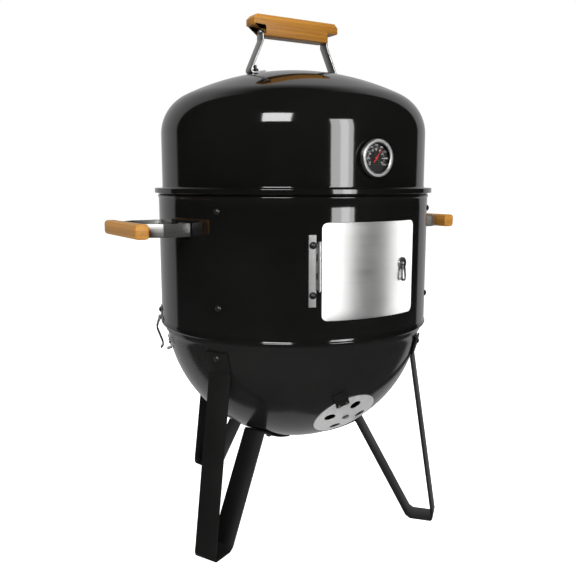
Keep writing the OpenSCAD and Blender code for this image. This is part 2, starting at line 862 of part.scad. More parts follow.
bowl_shell();
leg_left();
leg_right();
leg_rear();
leg_bolts();
leg_nuts();
damper_rivet();
clip_catches();
catch_rivets();
damper_disc();
damper_tab();
tab_rivets();
charcoal_grate();
barrel_shell();
upper_bracket_left();
upper_bracket_right();
upper_bracket_rear();
lower_bracket_left();
lower_bracket_right();
lower_bracket_rear();
bracket_bolts();
hinge_leaf();
hinge_pin();
hinge_bolts();
handle_strap_left();
handle_strap_right();
side_grip_left();
side_grip_right();
side_grip_screws();
handle_bolts();
clip_brackets();
clip_bolts();
barrel_nuts();
clip_wire_left();
clip_wire_right();
door_panel();
latch_washer();
latch_lever();
latch_cam();
upper_grate();
lower_grate();
water_pan();
lid_shell();
lid_strap_left();
lid_strap_right();
lid_grip();
lid_grip_screws();
lid_bolts();
lid_nuts();
gauge_case();
gauge_bezel();
gauge_dial();
gauge_needle();
gauge_lens();
gauge_stem();
gauge_nut();
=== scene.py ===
import json
import math

import bmesh
import bpy
from mathutils import Matrix, Vector


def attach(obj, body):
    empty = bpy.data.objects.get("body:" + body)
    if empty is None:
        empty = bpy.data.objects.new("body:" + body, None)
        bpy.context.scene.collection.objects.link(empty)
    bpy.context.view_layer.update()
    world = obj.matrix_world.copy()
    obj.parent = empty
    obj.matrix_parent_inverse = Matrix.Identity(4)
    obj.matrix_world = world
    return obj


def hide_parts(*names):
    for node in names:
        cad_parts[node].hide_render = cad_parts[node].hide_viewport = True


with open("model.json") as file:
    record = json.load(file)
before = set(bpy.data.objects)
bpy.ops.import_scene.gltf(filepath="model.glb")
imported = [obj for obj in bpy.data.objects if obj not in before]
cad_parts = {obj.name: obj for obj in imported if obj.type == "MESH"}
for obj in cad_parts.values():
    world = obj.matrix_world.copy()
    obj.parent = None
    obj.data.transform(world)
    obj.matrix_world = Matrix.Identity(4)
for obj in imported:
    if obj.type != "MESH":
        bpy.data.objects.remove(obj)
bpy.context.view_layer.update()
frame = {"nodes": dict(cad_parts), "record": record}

MM = 0.001
CAMERA_AT = Vector((-0.602, -0.967, 0.543))
HEADING = Vector((0.5225, 0.8526, 0.0)).normalized()
PITCH = math.radians(-8.7)
LENS = 43.28

# Main sizes in millimetres and degrees
SHEET = 1.5
GAP = 0.3
BARREL_R = 215.0
BARREL_LOW = 320.0
BARREL_TOP = 532.0
LID_R = 209.0
LID_WALL_Z = 616.0
LID_CORNER_R = 65.0
LID_CROWN_R = 395.0
BOWL_R = 208.0
BOWL_Z = 335.0
BOWL_BAND_R = 209.5
BOWL_BAND_TOP = 330.0
LEG_AZ = {"leg_left": -63.7, "leg_right": 41.5, "leg_rear": 196.0}
LEG_W = 38.0
LEG_T = 3.0
FOOT_OUTER_R = 246.0
FOOT_INNER_R = 200.0
DAMPER_DOWN = 43.5
VENT_R = 8.8
VENT_RING_R = 30.0
VENT_TURN = -8.0
DOOR_LOW = 355.0
DOOR_TOP = 489.0
DOOR_HALF_W = 79.6
DOOR_CORNER = 8.0
HINGE_AZ = -22.4
HINGE_R = 219.4
LATCH_AZ = 14.3
LATCH_Z = 428.0
HANDLE_Z = 476.0
GRIP_LEN = 140.0
STRAP_W = 19.0
STRAP_T = 2.5
CLIP_AZ = 110.0
GAUGE_Z = 575.0
NEEDLE_TURN = -37.0


# ---------- placing ----------

def facing(az, r, z):
    """Matrix whose local Z points out of the barrel or lid at an azimuth, in millimetres."""
    return (Matrix.Scale(MM, 4) @ Matrix.Rotation(math.radians(az), 4, "Z")
            @ Matrix.Translation((0, -r, z)) @ Matrix.Rotation(math.pi / 2, 4, "X"))


def on_bowl(az, down):
    """Matrix whose local Z points out of the bowl from its sphere's centre, in millimetres."""
    return (Matrix.Scale(MM, 4) @ Matrix.Translation((0, 0, BOWL_Z))
            @ Matrix.Rotation(math.radians(az), 4, "Z") @ Matrix.Rotation(math.radians(90 + down), 4, "X"))


def radial(az):
    """Matrix that takes (across, radius, height) in millimetres to the row frame."""
    return (Matrix.Scale(MM, 4) @ Matrix.Rotation(math.radians(az), 4, "Z")
            @ Matrix(((1, 0, 0, 0), (0, -1, 0, 0), (0, 0, 1, 0), (0, 0, 0, 1))))


WORLD_MM = Matrix.Scale(MM, 4)


# ---------- mesh builders ----------

def add(name, mesh, material, body, nodes=(), angle=35):
    """Links a mesh as a piece of the object, shaded smooth except at edges sharper than the angle."""
    mesh.shade_smooth()
    mesh.set_sharp_from_angle(angle=math.radians(angle))
    mesh.materials.append(material)
    piece = bpy.data.objects.new(name, mesh)
    bpy.context.scene.collection.objects.link(piece)
    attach(piece, body)
    if nodes:
        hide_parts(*nodes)
    return piece


def mesh_of(name, bm, place=WORLD_MM):
    """Mesh from a bmesh in millimetres, with its faces turned outwards."""
    bmesh.ops.remove_doubles(bm, verts=bm.verts, dist=0.001)
    bmesh.ops.transform(bm, matrix=place, verts=bm.verts)
    bmesh.ops.recalc_face_normals(bm, faces=bm.faces)
    mesh = bpy.data.meshes.new(name)
    bm.to_mesh(mesh)
    bm.free()
    return mesh


def lathe_into(bm, profile, segments=160, closed=True):
    """Turns a loop of (radius, height) points about the local Z axis."""
    rings = []
    for k in range(segments):
        a = 2 * math.pi * k / segments
        rings.append([bm.verts.new((r * math.sin(a), -r * math.cos(a), z)) for r, z in profile])
    last = len(profile) if closed else len(profile) - 1
    for k in range(segments):
        here, there = rings[k], rings[(k + 1) % segments]
        for i in range(last):
            j = (i + 1) % len(profile)
            if profile[i][0] > 1e-6 or profile[j][0] > 1e-6:
                bm.faces.new((here[i], there[i], there[j], here[j]))


def lathe(name, profile, place=WORLD_MM, segments=160):
    bm = bmesh.new()
    lathe_into(bm, profile, segments)
    bmesh.ops.remove_doubles(bm, verts=bm.verts, dist=0.001)
    bmesh.ops.dissolve_degenerate(bm, edges=bm.edges, dist=0.0005)
    return mesh_of(name, bm, place)


def arc(cx, cy, r, a, b, step=6.0):
    """Points on a circle from angle a to angle b in degrees, measured from the vertical towards +X."""
    n = max(2, int(abs(b - a) / step) + 1)
    return [(cx + r * math.sin(math.radians(a + (b - a) * i / n)),
             cy + r * math.cos(math.radians(a + (b - a) * i / n))) for i in range(n + 1)]


def fillet(points, radius, closed=False, steps=5):
    """A line of 2D points with each corner rounded by an arc that fits between its neighbours."""
    pts = [Vector(p) for p in points]
    count = len(pts)
    made = []
    for i, p in enumerate(pts):
        if not closed and i in (0, count - 1):
            made.append(tuple(p))
            continue
        to_a, to_b = pts[i - 1] - p, pts[(i + 1) % count] - p
        half = to_a.angle(to_b) / 2
        if half > math.radians(89):
            made.append(tuple(p))
            continue
        back = min(radius / math.tan(half), 0.45 * to_a.length, 0.45 * to_b.length)
        start, end = p + to_a.normalized() * back, p + to_b.normalized() * back
        for k in range(steps + 1):
            t = k / steps
            made.append(tuple((1 - t) ** 2 * start + 2 * t * (1 - t) * p + t * t * end))
    return made


def sweep(name, path, width, thickness, place, edge=0.5):
    """A strap: a rounded section swept along a 2D path in local Y and Z, its width along local X."""
    pts = [Vector(p) for p in path]
    section = []
    for sx, sn, a in ((1, 1, 0), (-1, 1, 90), (-1, -1, 180), (1, -1, 270)):
        for k in range(3):
            t = math.radians(a + 45 * k)
            section.append((sx * (width / 2 - edge) + edge * math.cos(t),
                            sn * (thickness / 2 - edge) + edge * math.sin(t)))
    bm = bmesh.new()
    loops = []
    for i, p in enumerate(pts):
        before = (p - pts[i - 1]).normalized() if i else (pts[1] - p).normalized()
        after = (pts[i + 1] - p).normalized() if i < len(pts) - 1 else before
        na, nb = Vector((-before.y, before.x)), Vector((-after.y, after.x))
        m = (na + nb).normalized()
        m /= max(0.3, m.dot(na))
        loops.append([bm.verts.new((x, p.x + n * m.x, p.y + n * m.y)) for x, n in section])
    for a, b in zip(loops, loops[1:]):
        for i in range(len(section)):
            j = (i + 1) % len(section)
            bm.faces.new((a[i], a[j], b[j], b[i]))
    bm.faces.new(loops[0])
    bm.faces.new(loops[-1])
    return mesh_of(name, bm, place)


def prism(name, outline, thickness, place, bevel=2.0, segments=4, cuts=0):
    """A solid with a rounded outline in local X and Y, centred on local Z, with bevelled rims."""
    bm = bmesh.new()
    end = -thickness / 2
    inset = [(end, bevel)]
    for k in range(1, segments + 1):
        a = math.pi / 2 * k / segments
        inset.append((end + bevel * (1 - math.cos(a)), bevel * (1 - math.sin(a))))
    straight = thickness - 2 * bevel
    inset += [(end + bevel + straight * k / (cuts + 1), 0.0) for k in range(1, cuts + 1)]
    inset += [(-z, d) for z, d in reversed(inset[:segments + 1])]
    pts = [Vector(p) for p in outline]
    area = sum(pts[i - 1].cross(pts[i]) for i in range(len(pts)))
    inward = 1 if area > 0 else -1
    loops = []
    for z, d in inset:
        loop = []
        for i, p in enumerate(pts):
            before, after = (p - pts[i - 1]).normalized(), (pts[(i + 1) % len(pts)] - p).normalized()
            na, nb = Vector((-before.y, before.x)), Vector((-after.y, after.x))
            m = (na + nb).normalized()
            m /= max(0.5, m.dot(na))
            q = p + inward * d * m
            loop.append(bm.verts.new((q.x, q.y, z)))
        loops.append(loop)
    for a, b in zip(loops, loops[1:]):
        for i in range(len(pts)):
            j = (i + 1) % len(pts)
            bm.faces.new((a[i], a[j], b[j], b[i]))
    bm.faces.new(loops[0])
    bm.faces.new(loops[-1])
    return mesh_of(name, bm, place)


def wires(name, lines, radius, material, body, nodes=(), place=WORLD_MM, sides=4):
    """Round wire along one or more lines of points in millimetres; a line whose ends meet is closed."""
    curve = bpy.data.curves.new(name, "CURVE")
    curve.dimensions = "3D"
    curve.bevel_depth = radius * MM
    curve.bevel_resolution = sides
    curve.use_fill_caps = True
    for line in lines:
        pts = [place @ Vector(p) for p in line]
        closed = (pts[0] - pts[-1]).length < 1e-6
        if closed:
            pts.pop()
        spline = curve.splines.new("POLY")
        spline.points.add(len(pts) - 1)
        for point, p in zip(spline.points, pts):
            point.co = (*p, 1)
        spline.use_cyclic_u = closed
        spline.use_smooth = True
    curve.materials.append(material)
    piece = bpy.data.objects.new(name, curve)
    bpy.context.scene.collection.objects.link(piece)
    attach(piece, body)
    if nodes:
        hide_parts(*nodes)
    return piece


def round_line(points, radius, steps=6):
    """A 3D line with its corners rounded."""
    pts = [Vector(p) for p in points]
    made = [pts[0]]
    for i in range(1, len(pts) - 1):
        p, to_a, to_b = pts[i], pts[i - 1] - pts[i], pts[i + 1] - pts[i]
        back = min(radius, 0.45 * to_a.length, 0.45 * to_b.length)
        start, end = p + to_a.normalized() * back, p + to_b.normalized() * back
        for k in range(steps + 1):
            t = k / steps
            made.append((1 - t) ** 2 * start + 2 * t * (1 - t) * p + t * t * end)
    made.append(pts[-1])
    return made


def cut(piece, cutter_mesh):
    """Cuts a mesh out of a piece for good."""
    cutter = bpy.data.objects.new("cutter", cutter_mesh)
    bpy.context.scene.collection.objects.link(cutter)
    boolean = piece.modifiers.new("cut", "BOOLEAN")
    boolean.object = cutter
    boolean.operation = "DIFFERENCE"
    boolean.solver = "EXACT"
    bpy.context.view_layer.update()
    shape = bpy.data.meshes.new_from_object(piece.evaluated_get(bpy.context.evaluated_depsgraph_get()))
    piece.modifiers.clear()
    piece.data = shape
    shape.shade_smooth()
    shape.set_sharp_from_angle(angle=math.radians(35))
    bpy.data.objects.remove(cutter)


# ---------- materials ----------

class Nodes:
    """Small helper for writing node materials."""

    def __init__(self, tree):
        self.tree = tree
        tree.nodes.clear()

    def new(self, kind, **settings):
        node = self.tree.nodes.new(kind)
        for key, value in settings.items():
            if hasattr(node, key):
                setattr(node, key, value)
            else:
                node.inputs[key.replace("_", " ")].default_value = value
        return node

    def link(self, out, into):
        self.tree.links.new(out, into)

    def math(self, operation, a, b=None):
        node = self.tree.nodes.new("ShaderNodeMath")
        node.operation = operation
        for socket, value in zip(node.inputs, (a, b)):
            if value is None:
                continue
            if isinstance(value, (int, float)):
                socket.default_value = value
            else:
                self.link(value, socket)
        return node.outputs[0]

    def spread(self, value, low, high, from_low=0.3, from_high=0.7):
        node = self.new("ShaderNodeMapRange")
        self.link(value, node.inputs["Value"])
        limits = {"From Min": from_low, "From Max": from_high, "To Min": low, "To Max": high}
        for key, number in limits.items():
            node.inputs[key].default_value = number
        return node.outputs[0]

    def noise(self, vector, scale, detail=3.0, rough=0.5):
        node = self.new("ShaderNodeTexNoise")
        self.link(vector, node.inputs["Vector"])
        node.inputs["Scale"].default_value = scale
        node.inputs["Detail"].default_value = detail
        node.inputs["Roughness"].default_value = rough
        return node.outputs["Fac"]

    def stretched(self, scale):
        """Object coordinates scaled per axis, so that noise runs along the least scaled one."""
        coordinates = self.new("ShaderNodeTexCoord")
        mapping = self.new("ShaderNodeMapping")
        mapping.inputs["Scale"].default_value = scale
        self.link(coordinates.outputs["Object"], mapping.inputs["Vector"])
        return mapping.outputs[0]

    def blend(self, factor, a, b):
        node = self.new("ShaderNodeMix", data_type="RGBA")
        self.link(factor, node.inputs[0])
        for socket, value in ((node.inputs[6], a), (node.inputs[7], b)):
            if isinstance(value, tuple):
                socket.default_value = (*value, 1)
            else:
                self.link(value, socket)
        return node.outputs[2]

    def bump(self, height, strength, distance):
        node = self.new("ShaderNodeBump")
        node.inputs["Strength"].default_value = strength
        node.inputs["Distance"].default_value = distance
        self.link(height, node.inputs["Height"])
        return node.outputs[0]


def shader(name):
    material = bpy.data.materials.new(name)
    material.use_nodes = True
    nodes = Nodes(material.node_tree)
    surface = nodes.new("ShaderNodeBsdfPrincipled")
    output = nodes.new("ShaderNodeOutputMaterial")
    nodes.link(surface.outputs[0], output.inputs[0])
    return material, nodes, surface


def coated(name, dark, light, rough, scale=60.0, bump=0.02, specular=0.5):
    """Enamel or paint: slight mottling, a gloss that varies and a faint orange peel."""
    material, nodes, surface = shader(name)
    flat = nodes.stretched((1, 1, 1))
    cloud = nodes.noise(flat, 9.0, 4.0)
    nodes.link(nodes.blend(nodes.spread(cloud, 0, 1), dark, light), surface.inputs["Base Color"])
    gloss = nodes.noise(flat, 12.0, 0.0)
    nodes.link(nodes.spread(gloss, rough * 0.9, rough * 1.12), surface.inputs["Roughness"])
    peel = nodes.noise(flat, scale, 2.0)
    nodes.link(nodes.bump(peel, bump, 0.0006), surface.inputs["Normal"])
    surface.inputs["Specular IOR Level"].default_value = specular
    return material


def steel(name, dark, light, rough, grain=(3, 3, 900), bump=0.03, metallic=1.0):
    """Bare metal with its brushing or drawing lines along the least scaled axes."""
    material, nodes, surface = shader(name)
    lines = nodes.noise(nodes.stretched(grain), 1.0, 4.0, 0.6)
    cloud = nodes.noise(nodes.stretched((1, 1, 1)), 14.0, 4.0)
    nodes.link(nodes.blend(nodes.spread(lines, 0, 1), dark, light), surface.inputs["Base Color"])
    both = nodes.math("ADD", nodes.math("MULTIPLY", lines, 0.5), nodes.math("MULTIPLY", cloud, 0.5))
    nodes.link(nodes.spread(both, rough * 0.8, rough * 1.25), surface.inputs["Roughness"])
    nodes.link(nodes.bump(lines, bump, 0.0004), surface.inputs["Normal"])
    surface.inputs["Metallic"].default_value = metallic
    return material


def bamboo(name, along, across):
    """Laminated bamboo: strips a few millimetres wide with fibres along them and dark seams between."""
    material, nodes, surface = shader(name)
    strip_w, seam_part = 0.0062, 0.045
    scale = [260.0, 260.0, 260.0]
    scale["XYZ".index(along)] = 9.0
    fibres = nodes.noise(nodes.stretched(tuple(scale)), 1.0, 5.0, 0.65)
    broad = nodes.noise(nodes.stretched(tuple(v / 9 for v in scale)), 1.0, 2.0)
    coordinates = nodes.new("ShaderNodeTexCoord")
    split = nodes.new("ShaderNodeSeparateXYZ")
    nodes.link(coordinates.outputs["Object"], split.inputs[0])
    strips = nodes.math("MULTIPLY", split.outputs[across], 1 / strip_w)
    shade = nodes.new("ShaderNodeTexWhiteNoise", noise_dimensions="1D")
    nodes.link(nodes.math("FLOOR", strips), shade.inputs["W"])
    grain = nodes.math("ADD", nodes.math("MULTIPLY", fibres, 0.5), nodes.math("MULTIPLY", broad, 0.3))
    tone = nodes.math("ADD", nodes.math("MULTIPLY", shade.outputs["Value"], 0.34), grain)
    colour = nodes.blend(nodes.spread(tone, 0, 1, 0.25, 0.85), (0.17, 0.062, 0.008), (0.46, 0.215, 0.036))
    seam = nodes.math("LESS_THAN", nodes.math("FRACT", strips), seam_part)
    seamed = nodes.blend(nodes.math("MULTIPLY", seam, 0.6), colour, (0.08, 0.032, 0.008))
    nodes.link(seamed, surface.inputs["Base Color"])
    nodes.link(nodes.spread(fibres, 0.30, 0.46), surface.inputs["Roughness"])
    nodes.link(nodes.bump(fibres, 0.10, 0.0004), surface.inputs["Normal"])
    surface.inputs["Specular IOR Level"].default_value = 0.2
    return material


def clear_glass(name):
    """Thin clear cover that shows only its reflections."""
    material = bpy.data.materials.new(name)
    material.use_nodes = True
    nodes = Nodes(material.node_tree)
    clear, gloss = nodes.new("ShaderNodeBsdfTransparent"), nodes.new("ShaderNodeBsdfGlossy")
    smudge = nodes.noise(nodes.stretched((1, 1, 1)), 70.0, 3.0)
    nodes.link(nodes.spread(smudge, 0.02, 0.07), gloss.inputs["Roughness"])
    rim = nodes.new("ShaderNodeFresnel")
    rim.inputs["IOR"].default_value = 1.4
    mix, output = nodes.new("ShaderNodeMixShader"), nodes.new("ShaderNodeOutputMaterial")
    nodes.link(rim.outputs[0], mix.inputs[0])
    nodes.link(clear.outputs[0], mix.inputs[1])
    nodes.link(gloss.outputs[0], mix.inputs[2])
    nodes.link(mix.outputs[0], output.inputs[0])
    return material


ENAMEL = coated("enamel_black", (0.0030, 0.0030, 0.0028), (0.0050, 0.0050, 0.0047), 0.07)
BOWL_ENAMEL = coated("enamel_bowl", (0.007, 0.007, 0.007), (0.011, 0.011, 0.0105), 0.15, 60.0, 0.004)
LEG_PAINT = coated("paint_matt", (0.0045, 0.0045, 0.0045), (0.0075, 0.0075, 0.007), 0.45, 420.0, 0.12, 0.3)
BLACK_BOLT = coated("bolt_black", (0.006, 0.006, 0.006), (0.012, 0.012, 0.012), 0.32, 300.0, 0.08)
STAINLESS = steel("steel_brushed", (0.60, 0.60, 0.595), (0.64, 0.64, 0.635), 0.38, bump=0.005)
DARK_STEEL = steel("steel_dark", (0.12, 0.12, 0.12), (0.22, 0.22, 0.215), 0.3, (120, 120, 120), 0.03)
STRAP_STEEL = steel("steel_strap", (0.42, 0.42, 0.41), (0.56, 0.56, 0.55), 0.44, (40, 40, 700))
ZINC = steel("steel_zinc", (0.40, 0.40, 0.39), (0.60, 0.60, 0.58), 0.36, (120, 120, 120), 0.05)
ALUMINIUM = steel("aluminium_satin", (0.62, 0.62, 0.615), (0.74, 0.74, 0.735), 0.42, (260, 30, 30), 0.05, 0.6)
CHROME = steel("chrome_wire", (0.62, 0.62, 0.62), (0.74, 0.74, 0.74), 0.16, (200, 200, 200), 0.02)
BAMBOO_X = bamboo("bamboo_along_x", "X", "Z")
BAMBOO_Y = bamboo("bamboo_along_y", "Y", "Z")
DIAL = coated("dial_black", (0.006, 0.006, 0.006), (0.010, 0.010, 0.010), 0.45, 300.0, 0.03)
MARKS = coated("dial_white", (0.66, 0.66, 0.64), (0.80, 0.80, 0.78), 0.5, 300.0, 0.02)
RED = coated("needle_red", (0.55, 0.03, 0.02), (0.75, 0.05, 0.035), 0.35, 300.0, 0.02)
GLASS = clear_glass("glass_clear")

BY_SLOT = {
    "black_enamel": ENAMEL, "bowl_enamel": BOWL_ENAMEL, "leg_paint": LEG_PAINT, "zinc_steel": ZINC,
    "stainless": STAINLESS, "aluminium": ALUMINIUM, "chrome_wire": CHROME, "black_bolt": BLACK_BOLT,
    "bamboo": BAMBOO_Y, "dial_face": DIAL, "needle_red": RED, "clear_glass": GLASS}

for part in frame["record"]["subparts"]:
    node = frame["nodes"][part["node"]]
    node.data.materials.clear()
    node.data.materials.append(BY_SLOT[part["material_slot"]])
    node.data.shade_smooth()
    node.data.set_sharp_from_angle(angle=math.radians(30))


# ---------- lid ----------

def crown_centre():
    """Height of the middle of the sphere that the lid's crown is part of."""
    return LID_WALL_Z - math.sqrt((LID_CROWN_R - LID_CORNER_R) ** 2 - (LID_R - LID_CORNER_R) ** 2)


def lid_wall(inset):
    """Crown, corner and wall of the lid from the top down."""
    turn = math.degrees(math.asin((LID_R - LID_CORNER_R) / (LID_CROWN_R - LID_CORNER_R)))
    return (arc(0, crown_centre(), LID_CROWN_R - inset, 0, turn, 2.0)
            + arc(LID_R - LID_CORNER_R, LID_WALL_Z, LID_CORNER_R - inset, turn, 90, 3.0)[1:]
            + [(LID_R - inset, z) for z in range(600, 549, -25)])


def lid_rim():
    """Cove at the wall's foot, then the flange, its turned-down lip and its underside."""
    out_r, lip_low, seat, top = BARREL_R + 6, 526.5, 532.4, 534.0
    cove = fillet([(LID_R, top + 11), (LID_R, top), (out_r - 5, top)], 4.5, steps=6)
    lip = [(out_r - 5, top), (out_r, top), (out_r, lip_low + 0.5), (out_r - 0.8, lip_low),
           (out_r - SHEET, lip_low + 0.7), (out_r - SHEET, seat), (LID_R - SHEET, seat),
           (LID_R - SHEET, seat + 7.6)]
    return cove + fillet(lip, 1.2, steps=4)[1:]


lid_profile = lid_wall(0) + lid_rim() + lid_wall(SHEET)[::-1]
add("lid_dome", lathe("lid_dome", lid_profile, segments=224), ENAMEL, "lid", ["lid_shell"])

BLOCK_HALF = 57.5
BLOCK_LOW = 763.5
BAR_HALF = 77.0
BAR_LOW = 778.0
BAR_TOP = 794.0
BAR_CUT = 6.0
LID_GRIP_W = 26.0
LID_TOE_X = 55.0
LID_FOOT_X = 82.0
LID_BOLT_X = 67.0
LID_KNEE_Z = 757.5
LID_STRAP_TOP = 776.5


def lid_grip():
    """Bar with cut corners over a narrower block, as one piece of wood."""
    half = [(BLOCK_HALF, BLOCK_LOW), (BLOCK_HALF, BAR_LOW - 0.2), (BAR_HALF, BAR_LOW + 0.2),
            (BAR_HALF, BAR_TOP - BAR_CUT), (BAR_HALF - BAR_CUT, BAR_TOP)]
    outline = [(-BLOCK_HALF, BLOCK_LOW)] + half + [(-x, z) for x, z in reversed(half[1:])]
    upright = Matrix.Scale(MM, 4) @ Matrix.Rotation(math.pi / 2, 4, "X")
    return prism("lid_handle_wood", fillet(outline, 1.8, True, 4), LID_GRIP_W, upright, 1.6)


add("lid_handle_wood", lid_grip(), BAMBOO_X, "lid", ["lid_grip"], 50)


def foot_height(x):
    """Height of the middle of the lid strap's foot, which lies just off the crown at its bolt."""
    tilt = math.asin(LID_BOLT_X / LID_CROWN_R)
    return (crown_centre() + (LID_CROWN_R + GAP + STRAP_T / 2) / math.cos(tilt)) - x * math.tan(tilt)


for side, name in ((1, "lid_strap_right"), (-1, "lid_strap_left")):
    upright_x = BLOCK_HALF + STRAP_T / 2
    path = fillet([(LID_TOE_X, foot_height(LID_TOE_X)), (LID_FOOT_X, foot_height(LID_FOOT_X)),
                   (upright_x, LID_KNEE_Z), (upright_x, LID_STRAP_TOP)], 5, steps=6)
    across = Matrix.Scale(MM, 4) @ Matrix(((0, side, 0, 0), (1, 0, 0, 0), (0, 0, 1, 0), (0, 0, 0, 1)))
    add(name.replace("lid", "lid_handle"), sweep(name, path, STRAP_W, STRAP_T, across), STRAP_STEEL,
        "lid", [name])


# ---------- barrel ----------

def bead(out, top, height, power=1.0):
    """Rolled bead on the barrel's outside, from its top down."""
    steps = 8
    return [(BARREL_R + out * math.sin(math.pi * k / steps) ** power, top - height * k / steps)
            for k in range(1, steps)]


def barrel_profile():
    """Outside of the barrel from its top edge down, then its inside back up."""
    soft = 0.9
    rows = list(range(505, 329, -25))
    low = BARREL_LOW + 0.1
    outside = ([(BARREL_R - soft, BARREL_TOP), (BARREL_R, BARREL_TOP - soft), (BARREL_R, 525.4)]
               + bead(1.4, 524.9, 5.8, 1.5)
               + [(BARREL_R, z) for z in [518.6] + rows + [327]]
               + bead(1.6, 325.6, 5.2) + [(BARREL_R + 0.2, low)])
    inside = [(BARREL_R - SHEET, z) for z in [low] + rows[::-1] + [525, BARREL_TOP]]
    return outside + inside


barrel = add("barrel_wall", lathe("barrel_wall", barrel_profile(), segments=224), ENAMEL, "barrel",
             ["barrel_shell"])


def rounded_rect(half_w, low, top, r):
    return fillet([(-half_w, low), (half_w, low), (half_w, top), (-half_w, top)], r, True, 6)


OPENING_HALF_W = 68.2
OPENING_MARGIN = 9.0
through_front = Matrix.Scale(MM, 4) @ Matrix.Translation((0, -200, 0)) @ Matrix.Rotation(math.pi / 2, 4, "X")
opening = rounded_rect(OPENING_HALF_W, DOOR_LOW + OPENING_MARGIN, DOOR_TOP - OPENING_MARGIN, DOOR_CORNER)
cut(barrel, prism("opening", opening, 120, through_front, 0.01, 1))


def door_panel():
    """Curved sheet with rounded corners and softened edges."""
    r_in, r_out = BARREL_R + 1, BARREL_R + 2.2
    count, rows = 44, 8
    bm = bmesh.new()
    columns = []
    for k in range(count + 1):
        x = -DOOR_HALF_W * math.cos(math.pi * k / count)
        dip = max(0.0, abs(x) - (DOOR_HALF_W - DOOR_CORNER))
        drop = DOOR_CORNER - math.sqrt(max(0.0, DOOR_CORNER ** 2 - dip ** 2))
        columns.append((x, DOOR_LOW + drop, DOOR_TOP - drop))

    def vertex_at(x, z, r, inset):
        """Vertex on the sheet's curve, moved in from the door's sides by the inset."""
        a = math.asin(max(-1, min(1, x * (1 - inset / DOOR_HALF_W) / r_out)))
        return bm.verts.new((r * math.sin(a), -r * math.cos(a), z))

    layers = ((r_in, 0.0), (r_in + 0.25, 0.0), (r_out - 0.35, 0.0), (r_out - 0.1, 0.12), (r_out, 0.4))
    for r, inset in (layers[0], layers[-1]):
        grid = []
        for x, z0, z1 in columns:
            low, height = z0 + inset, z1 - z0 - 2 * inset
            grid.append([vertex_at(x, low + height * i / rows, r, inset) for i in range(rows + 1)])
        for a, b in zip(grid, grid[1:]):
            for i in range(rows):
                bm.faces.new((a[i], a[i + 1], b[i + 1], b[i]))

    loops = []
    for r, inset in layers:
        low, top = DOOR_LOW + DOOR_CORNER + inset, DOOR_TOP - DOOR_CORNER - inset
        side = [low + (top - low) * i / rows for i in range(1, rows)]
        loop = [vertex_at(x, z0 + inset, r, inset) for x, z0, z1 in columns]
        loop += [vertex_at(DOOR_HALF_W, z, r, inset) for z in side]
        loop += [vertex_at(x, z1 - inset, r, inset) for x, z0, z1 in reversed(columns)]
        loop += [vertex_at(-DOOR_HALF_W, z, r, inset) for z in reversed(side)]
        loops.append(loop)
    for a, b in zip(loops, loops[1:]):
        for i in range(len(a)):
            j = (i + 1) % len(a)
            bm.faces.new((a[i], a[j], b[j], b[i]))
    return mesh_of("door_sheet", bm)


door = add("door_sheet", door_panel(), STAINLESS, "door", ["door_panel"])

hinge_place = (Matrix.Scale(MM, 4) @ Matrix.Rotation(math.radians(HINGE_AZ), 4, "Z")
               @ Matrix.Translation((0, -HINGE_R, 0)))


def knuckle(name, low, high):
    """Rolled tube round the hinge's pin, with softened ends."""
    hole_r, out_r, soft = 1.65, 3.0, 0.3
    profile = [(hole_r, low), (out_r - soft, low), (out_r, low + soft), (out_r, high - soft),
               (out_r - soft, high), (hole_r, high)]
    return lathe(name, profile, hinge_place, 32)


FINGER_AZ = -21.55
FINGER_R = 216.6
for i, (low, high) in enumerate(((414, 420.7), (439.1, 446.5))):
    add(f"door_knuckle_{i}", knuckle(f"door_knuckle_{i}", low, high), STAINLESS, "door", ())
    finger = sweep(f"door_finger_{i}", [(FINGER_R, low + 1), (FINGER_R, high - 1)], 6.6, 1.2,
                   radial(FINGER_AZ), 0.2)
    add(f"door_finger_{i}", finger, STAINLESS, "door", ())


# ---------- latch ----------

latch = facing(LATCH_AZ, BARREL_R + 2.4, LATCH_Z)
head = [(0, 1.2), (0, 5.0), (2.6, 4.8), (3.6, 4.0), (3.9, 2.6), (3.9, 1.2)]
add("latch_button", lathe("latch_button", head, latch, 40), DARK_STEEL, "door_latch", ())
spindle = [(0, -10.8), (0, 1.5), (3.1, 1.5), (3.1, -10.3), (2.7, -10.8)]
add("latch_spindle", lathe("latch_spindle", spindle, latch, 32), ZINC, "door_latch", ())
half_pin = [(1.8, 0, 2.6), (3.0, -10, 2.8), (4.2, -20.5, 3.0), (2.8, -24.0, 3.0)]
hairpin = [(-x, y, z) for x, y, z in half_pin] + half_pin[::-1]
wires("latch_hairpin", [round_line(hairpin, 3.0)], 1.4, DARK_STEEL, "door_latch", ["latch_lever"],
      latch)


# ---------- side handles ----------

def handle_path():
    """Middle line of the strap seen from above, on the -X side, from one tab round to the other."""
    ring = BARREL_R + GAP + STRAP_T / 2
    arm_y, knee_x, back_x, back_y = 60.0, -248.0, -270.5, 46.0
    meet_x = -222.0

    def on_ring(y):
        return (-math.sqrt(ring ** 2 - y ** 2), y)

    tab = [on_ring(y) for y in (34, 38, 42, 46, 50, 54, 57)]
    corner = fillet([tab[-1], on_ring(arm_y), (meet_x, arm_y)], 2.2, steps=4)
    arm = fillet([(meet_x, arm_y), (knee_x, arm_y), (back_x, back_y), (back_x, 20)], 4, steps=6)
    half = tab[:-1] + corner[:-1] + arm
    return half + [(x, -y) for x, y in reversed(half)]


